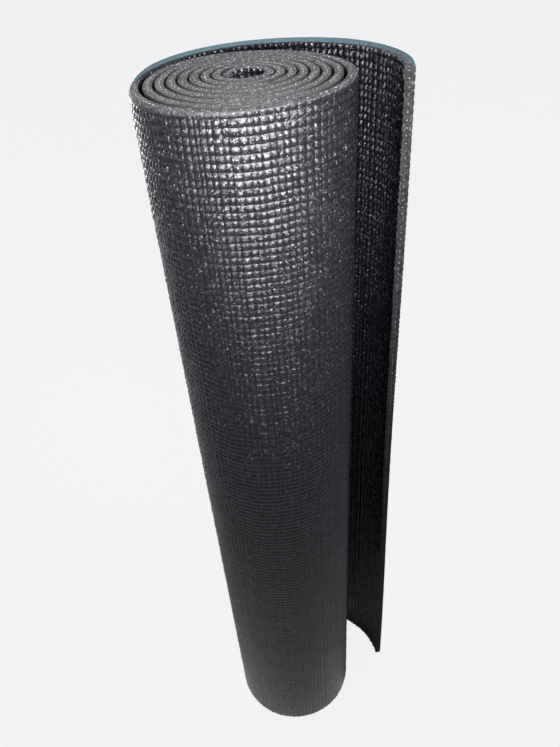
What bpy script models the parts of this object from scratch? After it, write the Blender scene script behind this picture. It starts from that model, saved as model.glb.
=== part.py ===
"""A foam exercise mat, rolled up and stood on end, with its outer end hanging loose as a curved flap.

Metres, +Z up. The origin is on the floor, in the middle of the space that the mat stands in.
The mat is one bonded sheet of three layers: foam on its outer face, a thin woven scrim in the
middle and foam on its inner face. Each layer has one solid for the wound turns, and one for each
upright strip of the loose flap. The strips bend at upright hinges on the outer face, so that the
flap can be straightened as the mat is unrolled, or curled a little tighter.

Plans are worked out at the top edge and at the foot edge, because the roll is wound tighter at
the top, and every solid is lofted between its two plans.
"""

import math
from collections import namedtuple

import bpy
import numpy as np
from mathutils import Vector

# The sheet: its width is the height of the roll as it stands
MAT_WIDTH = 0.610
FOAM_LAYER = 0.0017
SCRIM_LAYER = 0.0004
LAYER_GAP = 0.0003

# The hollow core that the mat is wound round, measured from its middle to the sheet's inner face
CORE_HALF_WIDTH = 0.00645
CORE_HALF_DEPTH = 0.00500
TURNS = 8.05

# The loose flap, from the line where it leaves the roll to the cut end of the mat
FLAP_LENGTH = 0.2076
FLAP_START_RADIUS = 0.0508
STRIPS = 10
HINGE_GAP = 0.0003

# How the two edges of the mat lie: the air between turns at the sides, front and back of the
# roll, how far the core leans to +X, and the flap's bending radius half way along and at its end
EdgePlan = namedtuple("EdgePlan", "side_gap front_gap back_gap lean flap_middle_radius flap_end_radius")
TOP_EDGE = EdgePlan(
    side_gap=0.00105, front_gap=0.00092, back_gap=0.00048, lean=0.00095,
    flap_middle_radius=0.0711, flap_end_radius=0.0446,
)
FOOT_EDGE = EdgePlan(
    side_gap=0.00126, front_gap=0.00138, back_gap=0.00060, lean=0.0,
    flap_middle_radius=0.0818, flap_end_radius=0.0526,
)

# How finely the curves are cut
FACETS_PER_TURN = 24
FACETS_PER_STRIP = 3
STEPS_PER_FACET = 16

# Colour, roughness and metallic value of each layer
FOAM_OUTER_LOOK = ((0.035, 0.035, 0.042, 1.0), 0.45, 0.0)
FOAM_INNER_LOOK = ((0.025, 0.025, 0.030, 1.0), 0.50, 0.0)
SCRIM_LOOK = ((0.55, 0.55, 0.56, 1.0), 0.80, 0.0)

MAT_THICKNESS = 2 * (FOAM_LAYER + LAYER_GAP) + SCRIM_LAYER
HALF_THICKNESS = MAT_THICKNESS / 2

# Each layer's name, and its outer and inner face as distances outwards from the sheet's middle
LAYERS = {
    "outer_foam": (HALF_THICKNESS, HALF_THICKNESS - FOAM_LAYER),
    "scrim": (SCRIM_LAYER / 2, -SCRIM_LAYER / 2),
    "inner_foam": (FOAM_LAYER - HALF_THICKNESS, -HALF_THICKNESS),
}


def turn_spacing(edge):
    """How far apart neighbouring turns lie at the sides, on average front to back, and how far each
    turn is set forward of the one inside it."""
    side = MAT_THICKNESS + edge.side_gap
    depth = MAT_THICKNESS + (edge.front_gap + edge.back_gap) / 2
    forward = (edge.front_gap - edge.back_gap) / 2
    return side, depth, forward


def winding(turns, offset, edge):
    """Points of the winding, at a number of turns counted outwards from the core.

    An oval spiral: half its width and half its depth grow evenly with the turns. It runs clockwise
    seen from above and ends at the left of the roll, where the flap begins. offset moves the
    points outwards from the middle of the sheet."""
    side, depth, forward = turn_spacing(edge)
    angle = math.pi + 2 * math.pi * (TURNS - turns)
    half_width = CORE_HALF_WIDTH + HALF_THICKNESS + side * turns + offset
    half_depth = CORE_HALF_DEPTH + HALF_THICKNESS + depth * turns + offset
    x = edge.lean + half_width * np.cos(angle)
    y = half_depth * np.sin(angle) - forward * turns
    return np.stack([x, y], axis=-1)


def turn_length(turns, edge):
    """Length of one more turn of the sheet's middle at that place of the winding."""
    side, depth, _ = turn_spacing(edge)
    return math.pi * (CORE_HALF_WIDTH + CORE_HALF_DEPTH + MAT_THICKNESS + (side + depth) * turns)


def flap(distances, offset, edge):
    """Points of the flap, at distances along it from the line where it leaves the roll.

    The sheet's middle leaves the roll smoothly. Its curvature is a parabola through the values at
    the start, half way and at the end, and its heading and place are running sums of that."""
    just_before = TURNS - 1 / (FACETS_PER_TURN * STEPS_PER_FACET)
    start, before = winding(np.array([TURNS, just_before]), 0.0, edge)
    heading = math.atan2(*(start - before)[::-1])
    steps = STRIPS * FACETS_PER_STRIP * STEPS_PER_FACET
    share = np.linspace(0.0, 1.0, steps + 1)
    step = FLAP_LENGTH / steps
    curvature = (
        (1 - share) * (1 - 2 * share) / FLAP_START_RADIUS
        + 4 * share * (1 - share) / edge.flap_middle_radius
        + share * (2 * share - 1) / edge.flap_end_radius
    )
    turned = np.concatenate([[0.0], np.cumsum((curvature[1:] + curvature[:-1]) / 2) * step])
    ahead = np.stack([np.cos(heading - turned), np.sin(heading - turned)], axis=-1)
    outwards = np.stack([-ahead[:, 1], ahead[:, 0]], axis=-1)
    middle = start + np.concatenate([np.zeros((1, 2)), np.cumsum((ahead[1:] + ahead[:-1]) / 2, axis=0) * step])
    curve = middle + outwards * offset
    along = share * FLAP_LENGTH
    return np.stack([np.interp(distances, along, curve[:, axis]) for axis in (0, 1)], axis=-1)


def turn_stations(edge):
    """Places along the winding, spaced alike on every turn so that the facets of neighbouring turns
    lie side by side, from the core to half a hinge gap before the flap."""
    last = TURNS - HINGE_GAP / 2 / turn_length(TURNS, edge)
    inner = np.arange(TURNS - 1 / FACETS_PER_TURN, 0.0, -1 / FACETS_PER_TURN)[::-1]
    return np.concatenate([[0.0], inner, [last]])


def strip_stations(number):
    """Distances along the flap of the facets of one strip, with half a hinge gap off each end that
    meets another strip or the roll."""
    length = FLAP_LENGTH / STRIPS
    first = (number - 1) * length + HINGE_GAP / 2
    last = number * length - (HINGE_GAP / 2 if number < STRIPS else 0.0)
    return np.linspace(first, last, FACETS_PER_STRIP + 1)


def at_height(plan, height):
    """Plan points raised to a height."""
    return np.column_stack([plan, np.full(len(plan), height)])


def lofted(curve, layer):
    """The four rows of corners of one layer's solid: outer and inner face at the foot, then at the
    top. curve gives the plan points at an offset for an edge of the mat."""
    outer, inner = LAYERS[layer]
    rows = []
    for edge, height in ((FOOT_EDGE, 0.0), (TOP_EDGE, MAT_WIDTH)):
        rows.append(at_height(curve(outer, edge), height))
        rows.append(at_height(curve(inner, edge), height))
    return np.array(rows)


def sheet_faces(count):
    """Faces of a closed solid whose corners are four rows of count points: outer foot, inner foot,
    outer top and inner top. The rows run clockwise seen from above, and all faces look outwards."""
    outer_foot, inner_foot, outer_top, inner_top = np.arange(4 * count).reshape(4, count)
    near, far = slice(None, -1), slice(1, None)
    outside = zip(outer_foot[near], outer_top[near], outer_top[far], outer_foot[far])
    inside = zip(inner_foot[near], inner_foot[far], inner_top[far], inner_top[near])
    top = zip(outer_top[near], inner_top[near], inner_top[far], outer_top[far])
    foot = zip(outer_foot[near], outer_foot[far], inner_foot[far], inner_foot[near])
    ends = [
        (outer_foot[0], inner_foot[0], inner_top[0], outer_top[0]),
        (outer_foot[-1], outer_top[-1], inner_top[-1], inner_foot[-1]),
    ]
    return [tuple(int(corner) for corner in face) for face in (*outside, *inside, *top, *foot, *ends)]


def make_material(name, look):
    """A plain Principled material."""
    colour, roughness, metallic = look
    material = bpy.data.materials.new(name)
    material.use_nodes = True
    shader = material.node_tree.nodes["Principled BSDF"]
    shader.inputs["Base Color"].default_value = colour
    shader.inputs["Roughness"].default_value = roughness
    shader.inputs["Metallic"].default_value = metallic
    material.diffuse_color = colour
    return material


def make_solid(name, rows, material, origin):
    """One layer's solid as an object whose own origin is at the given point."""
    mesh = bpy.data.meshes.new(name)
    corners = rows.reshape(-1, 3) - np.array(origin)
    mesh.from_pydata(corners.tolist(), [], sheet_faces(rows.shape[1]))
    mesh.materials.append(material)
    solid = bpy.data.objects.new(name, mesh)
    solid.location = origin
    bpy.context.collection.objects.link(solid)
    return solid


def make_hinge(number, foot, top):
    """An empty on the hinge line between a strip and what comes before it, its Z along the line."""
    hinge = bpy.data.objects.new(f"bend_{number:02d}", None)
    hinge.empty_display_type = "SINGLE_ARROW"
    hinge.empty_display_size = MAT_THICKNESS
    hinge.location = foot
    hinge.rotation_mode = "QUATERNION"
    hinge.rotation_quaternion = (Vector(top) - Vector(foot)).to_track_quat("Z", "Y")
    bpy.context.collection.objects.link(hinge)
    return hinge


def hang_on(child, parent):
    """Parents an object without moving it."""
    bpy.context.view_layer.update()
    child.parent = parent
    child.matrix_parent_inverse = parent.matrix_world.inverted()


def least_turn_gap(edge):
    """The least air between neighbouring turns, measured on their facet corners."""
    stations = turn_stations(edge)
    inside = stations[stations < TURNS - 1]
    outer_faces = winding(inside, HALF_THICKNESS, edge)
    inner_faces = winding(inside + 1, -HALF_THICKNESS, edge)
    return float(np.linalg.norm(inner_faces - outer_faces, axis=1).min())


def clear_scene():
    """Removes whatever the scene holds."""
    for item in list(bpy.context.scene.objects):
        bpy.data.objects.remove(item, do_unlink=True)


def build():
    """Works out every solid, centres them all over the origin and makes the objects."""
    clear_scene()
    materials = {
        "outer_foam": make_material("foam_outer_face", FOAM_OUTER_LOOK),
        "scrim": make_material("scrim_yarn", SCRIM_LOOK),
        "inner_foam": make_material("foam_inner_face", FOAM_INNER_LOOK),
    }
    roll = {}
    strips = {}
    for layer in LAYERS:
        roll[layer] = lofted(lambda offset, edge: winding(turn_stations(edge), offset, edge), layer)
        for number in range(1, STRIPS + 1):
            stations = strip_stations(number)
            strips[layer, number] = lofted(lambda offset, edge: flap(stations, offset, edge), layer)

    corners = np.concatenate([rows.reshape(-1, 3) for rows in (*roll.values(), *strips.values())])
    middle = (corners.min(axis=0) + corners.max(axis=0)) / 2
    shift = np.array([middle[0], middle[1], 0.0])

    for layer, rows in roll.items():
        make_solid(f"{layer}_roll", rows - shift, materials[layer], (0.0, 0.0, 0.0))

    before = None
    for number in range(1, STRIPS + 1):
        place = np.array([(number - 1) * FLAP_LENGTH / STRIPS])
        foot = at_height(flap(place, HALF_THICKNESS, FOOT_EDGE), 0.0)[0] - shift
        top = at_height(flap(place, HALF_THICKNESS, TOP_EDGE), MAT_WIDTH)[0] - shift
        hinge = make_hinge(number, foot, top)
        if before is not None:
            hang_on(hinge, before)
        for layer in LAYERS:
            name = f"{layer}_strip_{number:02d}"
            solid = make_solid(name, strips[layer, number] - shift, materials[layer], foot)
            hang_on(solid, hinge)
        before = hinge

    for label, edge in (("top", TOP_EDGE), ("foot", FOOT_EDGE)):
        print(f"least gap between turns at the {label}: {least_turn_gap(edge):.6f} m")


build()
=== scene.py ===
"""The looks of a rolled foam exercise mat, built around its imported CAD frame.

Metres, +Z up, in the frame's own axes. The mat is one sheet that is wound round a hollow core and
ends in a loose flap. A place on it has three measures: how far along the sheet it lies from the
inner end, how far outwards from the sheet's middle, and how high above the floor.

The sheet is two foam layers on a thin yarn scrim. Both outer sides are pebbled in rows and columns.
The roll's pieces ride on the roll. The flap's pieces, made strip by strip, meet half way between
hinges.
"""

import math
from collections import namedtuple

import bpy
import numpy as np
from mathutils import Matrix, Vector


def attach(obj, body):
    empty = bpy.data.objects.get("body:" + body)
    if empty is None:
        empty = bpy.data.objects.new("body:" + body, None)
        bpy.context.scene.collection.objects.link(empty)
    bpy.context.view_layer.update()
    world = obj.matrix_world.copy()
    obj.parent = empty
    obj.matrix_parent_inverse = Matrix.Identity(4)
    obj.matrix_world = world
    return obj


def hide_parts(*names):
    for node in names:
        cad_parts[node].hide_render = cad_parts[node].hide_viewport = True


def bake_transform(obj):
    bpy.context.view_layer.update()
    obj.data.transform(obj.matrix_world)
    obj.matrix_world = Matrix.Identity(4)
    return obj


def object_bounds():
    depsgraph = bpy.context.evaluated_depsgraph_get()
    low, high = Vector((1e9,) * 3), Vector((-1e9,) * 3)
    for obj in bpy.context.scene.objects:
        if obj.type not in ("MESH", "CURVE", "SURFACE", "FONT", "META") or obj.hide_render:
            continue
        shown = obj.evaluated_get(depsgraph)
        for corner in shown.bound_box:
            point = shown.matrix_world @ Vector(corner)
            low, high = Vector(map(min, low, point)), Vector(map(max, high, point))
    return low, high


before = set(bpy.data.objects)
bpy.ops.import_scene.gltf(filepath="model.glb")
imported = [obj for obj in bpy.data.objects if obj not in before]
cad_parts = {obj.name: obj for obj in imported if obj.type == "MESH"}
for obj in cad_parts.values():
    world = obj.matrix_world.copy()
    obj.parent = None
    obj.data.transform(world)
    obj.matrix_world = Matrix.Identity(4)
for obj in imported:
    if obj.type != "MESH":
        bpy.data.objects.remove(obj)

cad_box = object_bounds()

# The sheet's plan, as in the CAD model
MAT_WIDTH = 0.610
MAT_THICKNESS = 0.0044
HALF_THICKNESS = MAT_THICKNESS / 2
CORE_HALF_WIDTH = 0.00645
CORE_HALF_DEPTH = 0.00500
TURNS = 8.05
FLAP_LENGTH = 0.2076
FLAP_START_RADIUS = 0.0508
STRIPS = 10
STRIP_LENGTH = FLAP_LENGTH / STRIPS
HEADING_STEP = 1 / 384
PLAN_MIDDLE = np.array([0.018209, 0.004943])
ROLL_STEPS = 8050
FLAP_STEPS = 1000

EdgePlan = namedtuple("EdgePlan", "side_gap front_gap back_gap lean flap_middle_radius flap_end_radius")
TOP_EDGE = EdgePlan(
    side_gap=0.00105, front_gap=0.00092, back_gap=0.00048, lean=0.00095,
    flap_middle_radius=0.0711, flap_end_radius=0.0446,
)
FOOT_EDGE = EdgePlan(
    side_gap=0.00126, front_gap=0.00138, back_gap=0.00060, lean=0.0,
    flap_middle_radius=0.0818, flap_end_radius=0.0526,
)

# How the soft sheet strays from that plan towards its top and its free end
EGG_SHARE = 0.05
EGG_REACH = 0.05
CORE_RISE = 0.0016
RISE_POWER = 2.2
CORE_SHIFT = 0.0009
SHIFT_POWER = 10
CORE_SQUEEZE = 0.0005
SQUEEZE_REACH = 0.02
BULGE = 0.0012
INNER_BULGE = 0.0003
BULGE_TURN = 7.56
BULGE_SPAN = 0.15
BULGE_FROM = 0.35
BULGE_CLIMB = 0.45
END_SHIFT = 0.0005
END_POWER = 1.5
END_WAVE = 0.0006
END_WAVE_FROM = 0.10
END_WAVE_SPAN = 0.85

# The pebbles: rows up the mat, and columns along the sheet of two mixed widths
ROW_PITCH = 0.0039
ROW_START = 0.0012
WIDE_COLUMN = 0.0039
NARROW_COLUMN = 0.0028
WIDE_SHARE = 0.58
COLUMN_SPREAD = 0.00030
SPARE_COLUMNS = 20
PAST_THE_CUT = 0.0016
FACETS_ACROSS = 4
FACETS_UP = 4
FACET_CROWDING = 0.62
LEAST_FACET = 0.2
PILLOW_ROUNDNESS = 2.2
PILLOW_BREADTH = 0.8
SWELL_DRAW = (0.95, 0.15)
SWELL_LIMITS = (0.55, 1.2)
SWELL_WITH_WIDTH = 0.4
SIDEWAYS_LEAN = (-0.45, 0.45)
UPWARD_LEAN = (-0.10, 0.80)
LEAN_RAMP = 4
OUTER_VALLEYS = (0.0, 0.10)
INNER_VALLEYS = (0.30, 0.0)
VALLEY_DEPTH = 0.00015

# Pebble heights, and the lengths of sheet over which they change
WOUND_RELIEF = 0.00036
OPEN_RELIEF = 0.00085
OPEN_RAMP = 0.060
END_RELIEF = 0.00055
CORE_RELIEF = 0.00065
CORE_RAMP = 0.015
FIRST_TURN = 0.066
FLAP_RELIEF = 0.00120
FLAP_RAMP = 0.045
FRONT_EXTRA = 0.00012
WOUND_BAND = 0.0135
BAND_POWER = 3

# Waves of the valleys, at rates in radians a metre
Sway = namedtuple("Sway", "slow bend bend_rate quick slant")
SIDEWAYS_SWAY = Sway(slow=47, bend=3, bend_rate=61, quick=153, slant=90)
UPWARD_SWAY = Sway(slow=230, bend=2, bend_rate=40, quick=610, slant=35)
SLOW_SWAY = 0.00016
QUICK_SWAY = 0.00010
CALM_REACH = 0.012

# The cut edges, with two lines across each cut
CutWaves = namedtuple("CutWaves", "first second twist")
EDGE_WAVES = CutWaves(first=1900, second=830, twist=2)
END_WAVES = CutWaves(first=1700, second=5200, twist=3)
CUT_LINES = np.array([1 / 3, 2 / 3])
CUT_PHASES = np.array([0.0, 2.1])
CUT_CROWN = 0.00010
CUT_WAVER = 0.00007
FOOT_CROWN_SHARE = 0.5
EDGE_ROUND = 0.00022
EDGE_REACH = 0.0015
FRONT_ROUND_SHARE = 0.35
OUTER_NICKS = (0.0085, 0.1325)
INNER_NICKS = (0.0830, 0.2590)
NICK_WIDTH = 0.0042
NICK_DEPTH = 0.0013
DUST_REACH = 0.0022
DUST_RAMP = 0.045
SHADED_PLACES = (-0.02, 0.06, 0.72, 0.93)
SHADED_LEVELS = (0.0, 1.0, 1.0, 0.0)

# The worn stretch of the outer face's top edge
WORN_PLACES = (1.39, 1.43, 1.465, 1.51, 1.55)
WORN_REACH = (0.0001, 0.0012, 0.0027, 0.0027, 0.0006)
WORN_DEPTH = 0.35
WORN_LEVEL = 0.7
WORN_GAIN = 2
FRAY = 0.15
FRAY_RATES = (1400, 3100)

# The rim's lip, by its place along the flap
LIP_HEIGHT = 0.0019
LIP_PLACES = (0.02, 0.06, 0.14, 0.35, 0.70, 0.93, 1.0)
LIP_SHARES = (0.0, 0.3, 0.7, 0.8, 1.0, 0.55, 0.0)
LIP_ON_CUT = np.array([0.9, 0.0])
LEAST_LIP = 0.0002
RIM_DROP = 0.0004
RIM_FADE = 0.0006

# The scrim and its yarn ends
FOAM_BACK = 0.00006
SCRIM_HALF = 0.00004
SCRIM_RECESS = 0.0004
SCRIM_FACETS = 2
TUFT_SIDES = 6
TUFT_LEVELS = (-0.55, 0.25, 0.80)
Tufts = namedtuple("Tufts", "offset spread radii heights")
EDGE_TUFTS = Tufts(0.0, 0.00025, (0.00012, 0.00028), (0.00014, 0.00028))
END_TUFTS = Tufts(-0.00033, 0.00010, (0.00014, 0.00028), (0.00018, 0.00030))
TOP_TUFT_LEVEL = MAT_WIDTH + 0.00003
FOOT_TUFT_LEVEL = 0.00002
SUNK_PLACES = (0.0, 0.05, 0.90, 0.96)
SUNK_DEPTHS = (0.0, 0.0004, 0.0004, 0.0)
CLEAR_OF_CORNER = 0.006
CLEAR_OF_CUT = 0.001

# The open last turn's outer face is made in parts, and bends keep inside the flap's seams
OPEN_TURNS = 1.01
OPEN_PARTS = 4
SEAM_MARGIN = 0.0004

# Kinds of side of a slab. A pebble's own side number is a multiple of how many kinds there are.
SIDE_KINDS = 4
FRONT, CUT, BACK, END = range(SIDE_KINDS)
SMOOTH_SIDES = 9

SEED = 41
random = np.random.default_rng(SEED)


# Shape of the sheet

def middle_line(edge):
    """Plan points of the sheet's middle, from its inner end at the core to its free end.

    The winding is an oval spiral: its half width and half depth grow evenly with the turns, and
    each turn is set a little forward of the one inside it. The flap leaves it smoothly. Its
    curvature is a parabola through the values at its start, half way and at its end, and its
    heading and place are running sums of that."""
    side = MAT_THICKNESS + edge.side_gap
    depth = MAT_THICKNESS + (edge.front_gap + edge.back_gap) / 2
    forward = (edge.front_gap - edge.back_gap) / 2

    def winding(turns):
        angle = math.pi + 2 * math.pi * (TURNS - turns)
        x = edge.lean + (CORE_HALF_WIDTH + HALF_THICKNESS + side * turns) * np.cos(angle)
        y = (CORE_HALF_DEPTH + HALF_THICKNESS + depth * turns) * np.sin(angle) - forward * turns
        return np.stack([x, y], axis=-1)

    roll = winding(TURN_STEPS)
    start, before = winding(np.array([TURNS, TURNS - HEADING_STEP]))
    heading = math.atan2(*(start - before)[::-1])
    share = np.linspace(0.0, 1.0, FLAP_STEPS + 1)
    step = FLAP_LENGTH / FLAP_STEPS
    curvature = (
        (1 - share) * (1 - 2 * share) / FLAP_START_RADIUS
        + 4 * share * (1 - share) / edge.flap_middle_radius
        + share * (2 * share - 1) / edge.flap_end_radius
    )
    turned = np.cumsum((curvature[1:] + curvature[:-1]) / 2) * step
    directions = heading - np.concatenate([[0.0], turned])
    ahead = np.stack([np.cos(directions), np.sin(directions)], axis=-1)
    flap = start + np.cumsum((ahead[1:] + ahead[:-1]) / 2, axis=0) * step
    return np.concatenate([roll, flap]) - PLAN_MIDDLE


def outward_directions(line):
    """Unit plan directions square to the line: its slope turned a quarter turn to the outside."""
    ahead = np.gradient(line, axis=0)
    ahead /= np.linalg.norm(ahead, axis=1)[:, None]
    return np.stack([-ahead[:, 1], ahead[:, 0]], axis=-1)


def running_length(line):
    """Distance along a line at each of its points, the running sum of its steps."""
    return np.concatenate([[0.0], np.cumsum(np.linalg.norm(np.diff(line, axis=0), axis=1))])


TURN_STEPS = np.linspace(0.0, TURNS, ROLL_STEPS + 1)
FOOT_LINE, TOP_LINE = middle_line(FOOT_EDGE), middle_line(TOP_EDGE)
FOOT_OUT, TOP_OUT = outward_directions(FOOT_LINE), outward_directions(TOP_LINE)
ALONG = (running_length(FOOT_LINE) + running_length(TOP_LINE)) / 2
ROLL_LENGTH = ALONG[ROLL_STEPS]
SHEET_LENGTH = ALONG[-1]


def turn_place(turn):
    """How far along the sheet a turn of the winding is reached."""
    return np.interp(turn, TURN_STEPS, ALONG[: ROLL_STEPS + 1])


def sheet_points(along, offset, height):
    """Points of the sheet, each a straight mix of its plan at the foot and at the top, by height.

    Towards the top the plan is a little egg-shaped: depths grow on the left and shrink on the right
    by a share that follows a tanh curve. The inner turns stand up and lie to the right there, by
    amounts that fall with a power of the turn. The last two turns bulge on the right in a bell
    curve, which comes in with height on a cubic that is level at both ends. The free end strays
    sideways in one slow cosine wave."""
    along, offset, height = np.broadcast_arrays(along, offset, height)
    up = height / MAT_WIDTH
    turn = np.interp(along, ALONG[: ROLL_STEPS + 1], TURN_STEPS)
    swelling = ((up - BULGE_FROM) / BULGE_CLIMB).clip(0.0, 1.0)
    swelling = swelling ** 2 * (3 - 2 * swelling)
    for bulge, turns_in in ((BULGE, 0), (INNER_BULGE, 1)):
        offset = offset + bulge * swelling * np.exp(-((turn - BULGE_TURN + turns_in) / BULGE_SPAN) ** 2)

    def plan(line, out):
        return np.stack([
            np.interp(along, ALONG, line[:, axis]) + offset * np.interp(along, ALONG, out[:, axis])
            for axis in (0, 1)
        ], axis=-1)

    share = up[..., None]
    mixed = plan(FOOT_LINE, FOOT_OUT) * (1 - share) + plan(TOP_LINE, TOP_OUT) * share
    x, y = mixed[..., 0], mixed[..., 1]
    y = y - EGG_SHARE * up * (y + PLAN_MIDDLE[1]) * np.tanh((x + PLAN_MIDDLE[0]) / EGG_REACH)
    free = ((along - ROLL_LENGTH) / FLAP_LENGTH).clip(0.0, 1.0) ** END_POWER
    x = x + free * (END_SHIFT + END_WAVE * np.cos(2 * math.pi * (up - END_WAVE_FROM) / END_WAVE_SPAN))
    inside = turn / TURNS
    pushed = CORE_SHIFT - CORE_SQUEEZE * np.tanh((x + PLAN_MIDDLE[0]) / SQUEEZE_REACH)
    x = x + up * (1 - inside ** SHIFT_POWER) * pushed
    z = height + up * CORE_RISE * (1 - inside ** RISE_POWER)
    return np.stack([x, y, z], axis=-1)


# The pebbles

def column_edges():
    """Places along the sheet of the valleys between columns, laid from the free end to the core
    and a little past both. Each column's width is drawn from one of two mixed widths."""
    count = int(SHEET_LENGTH / NARROW_COLUMN) + SPARE_COLUMNS
    wide = random.random(count) < WIDE_SHARE
    widths = np.where(wide, WIDE_COLUMN, NARROW_COLUMN) + random.normal(0.0, COLUMN_SPREAD, count)
    edges = SHEET_LENGTH + PAST_THE_CUT - np.concatenate([[0.0], np.cumsum(widths)])
    return edges[: np.searchsorted(-edges, NARROW_COLUMN) + 1][::-1]


COLUMN_EDGES = column_edges()
COLUMN_WIDTHS = np.diff(COLUMN_EDGES)
ROWS = int((MAT_WIDTH + ROW_START) / ROW_PITCH) + 1
PEBBLE_GRID = (len(COLUMN_WIDTHS), ROWS)
SWELLS = random.normal(*SWELL_DRAW, PEBBLE_GRID).clip(*SWELL_LIMITS)
SWELLS *= (COLUMN_WIDTHS[:, None] / COLUMN_WIDTHS.mean()) ** SWELL_WITH_WIDTH
SIDEWAYS_SKEW = random.uniform(*SIDEWAYS_LEAN, PEBBLE_GRID)
UPWARD_SKEW = random.uniform(*UPWARD_LEAN, PEBBLE_GRID)


def facet_shares(count):
    """Shares of a pebble at which its facets begin, closer together at its steep sides."""
    x = 2 * np.arange(count) / count - 1
    return 0.5 + 0.5 * np.sign(x) * np.abs(x) ** FACET_CROWDING


def pillow(share):
    """Profile of a pebble from side to side: 0 at both sides, steep, then a broad round top."""
    return (1 - np.abs(2 * share.clip(0.0, 1.0) - 1) ** PILLOW_ROUNDNESS) ** PILLOW_BREADTH


def pebbles(along, height, row_valley, column_valley):
    """Relief for every station and level, about 1 on the pebbles: the rows' profile times the
    columns' profile, each lifted from 0 in its valleys to that valley's own height. Each pebble
    swells and leans by its own amounts, and its upward lean fades at its sides."""
    column = (np.searchsorted(COLUMN_EDGES, along, side="right") - 1).clip(0, len(COLUMN_WIDTHS) - 1)
    rows = (height + ROW_START) / ROW_PITCH
    row = np.floor(rows).astype(int).clip(0, ROWS - 1)
    across = ((along - COLUMN_EDGES[column]) / COLUMN_WIDTHS[column]).clip(0.0, 1.0)[:, None]
    upward = (rows - row)[None]
    fading = np.minimum(1.0, LEAN_RAMP * pillow(across))
    leant = across + SIDEWAYS_SKEW[column][:, row] * across * (1 - across)
    raised = upward + UPWARD_SKEW[column][:, row] * upward * (1 - upward) * fading
    ridges = row_valley + (1 - row_valley) * pillow(raised)
    return ridges * (column_valley + (1 - column_valley) * pillow(leant) * SWELLS[column][:, row])


def pebble_parity(along, heights):
    """A number from 0 to 3 for each facet, which differs between neighbouring pebbles."""
    middles = (along[1:] + along[:-1]) / 2
    column = np.searchsorted(COLUMN_EDGES, middles, side="right")
    row = np.floor(((heights[1:] + heights[:-1]) / 2 + ROW_START) / ROW_PITCH).astype(int)
    return 2 * (column % 2)[:, None] + (row % 2)[None]


def swayed(here, there, sway):
    """Two sine waves that run along here: the phase of the slow one swings with there, and the
    phase of the quick one grows with it."""
    slow = np.sin(here * sway.slow + sway.bend * np.sin(there * sway.bend_rate))
    return SLOW_SWAY * slow + QUICK_SWAY * np.sin(here * sway.quick + there * sway.slant)


def waver(along, height):
    """How far the valleys stray along the sheet and up it, nothing at the cuts."""
    along, height = along[:, None], height[None]
    calm = (np.minimum(height, MAT_WIDTH - height) / CALM_REACH).clip(0.0, 1.0)
    calm = calm * ((SHEET_LENGTH - along) / CALM_REACH).clip(0.0, 1.0)
    return swayed(height, along, SIDEWAYS_SWAY) * calm, swayed(along, height, UPWARD_SWAY) * calm


def stations(first, last, facets):
    """Places along the sheet of one piece's facets: its two ends and the columns' facets between."""
    inside = (COLUMN_EDGES[:-1, None] + COLUMN_WIDTHS[:, None] * facet_shares(facets)).ravel()
    least = LEAST_FACET * NARROW_COLUMN / facets
    inside = inside[(inside > first + least) & (inside < last - least)]
    return np.concatenate([[first], inside, [last]])


def levels(facets):
    """Heights of the facets of all the rows, from the foot to the top."""
    heights = ((np.arange(ROWS)[:, None] + facet_shares(facets)) * ROW_PITCH - ROW_START).ravel()
    least = LEAST_FACET * ROW_PITCH / facets
    inside = heights[(heights > least) & (heights < MAT_WIDTH - least)]
    return np.concatenate([[0.0], inside, [MAT_WIDTH]])


def nearest_valley(place):
    """The upright valley nearest to a place along the sheet."""
    return COLUMN_EDGES[np.abs(COLUMN_EDGES - place).argmin()]


def front_share(along):
    """1 where the sheet faces forwards, falling as a square to 0 at its sides."""
    return (-np.interp(along, ALONG, TOP_OUT[:, 1])).clip(0.0, 1.0) ** 2


def outer_relief(along):
    """Pebble height on the outer face: low between turns, full where the face is open, and less
    again at the free end."""
    open_from = turn_place(TURNS - 1)
    places = [open_from, open_from + OPEN_RAMP, SHEET_LENGTH - FLAP_LENGTH / 2, SHEET_LENGTH]
    relief = np.interp(along, places, [WOUND_RELIEF, OPEN_RELIEF, OPEN_RELIEF, END_RELIEF])
    return relief + FRONT_EXTRA * front_share(along) * (along < open_from)


def inner_relief(along):
    """Pebble height on the inner face: low inside the roll, more in the open core, full on the flap."""
    places = [FIRST_TURN - CORE_RAMP, FIRST_TURN, ROLL_LENGTH, ROLL_LENGTH + FLAP_RAMP]
    relief = np.interp(along, places, [CORE_RELIEF, WOUND_RELIEF, WOUND_RELIEF, FLAP_RELIEF])
    return relief + FRONT_EXTRA * front_share(along) * (along < ROLL_LENGTH - STRIP_LENGTH)


# The cut edges

def rim_lip(along):
    """How far the skin stands up past the top cut along the flap, none in the roll or at the free end."""
    return LIP_HEIGHT * np.interp((along - ROLL_LENGTH) / FLAP_LENGTH, LIP_PLACES, LIP_SHARES)


def near_cuts(heights, reach):
    """1 at the top and foot cuts, falling evenly to 0 over a reach."""
    return (1 - np.minimum(heights, MAT_WIDTH - heights) / reach).clip(0.0, 1.0)


def edge_rounding(along, heights, rise, nicks):
    """How far the front draws in beside the cuts: the square of the nearness to a cut, times a
    depth. That is least where the sheet faces forwards or backwards and nothing under a full lip,
    and each nick adds a bell curve to it."""
    facing_sideways = np.interp(along, ALONG, TOP_OUT[:, 0]) ** 2
    depth = EDGE_ROUND * (FRONT_ROUND_SHARE + (1 - FRONT_ROUND_SHARE) * facing_sideways)
    depth = depth * (1 - rise / LIP_HEIGHT).clip(0.0, 1.0)
    for nick in nicks:
        depth = depth + NICK_DEPTH * np.exp(-((along - nick) / NICK_WIDTH) ** 2)
    return depth[:, None] * near_cuts(heights, EDGE_REACH) ** 2


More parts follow.
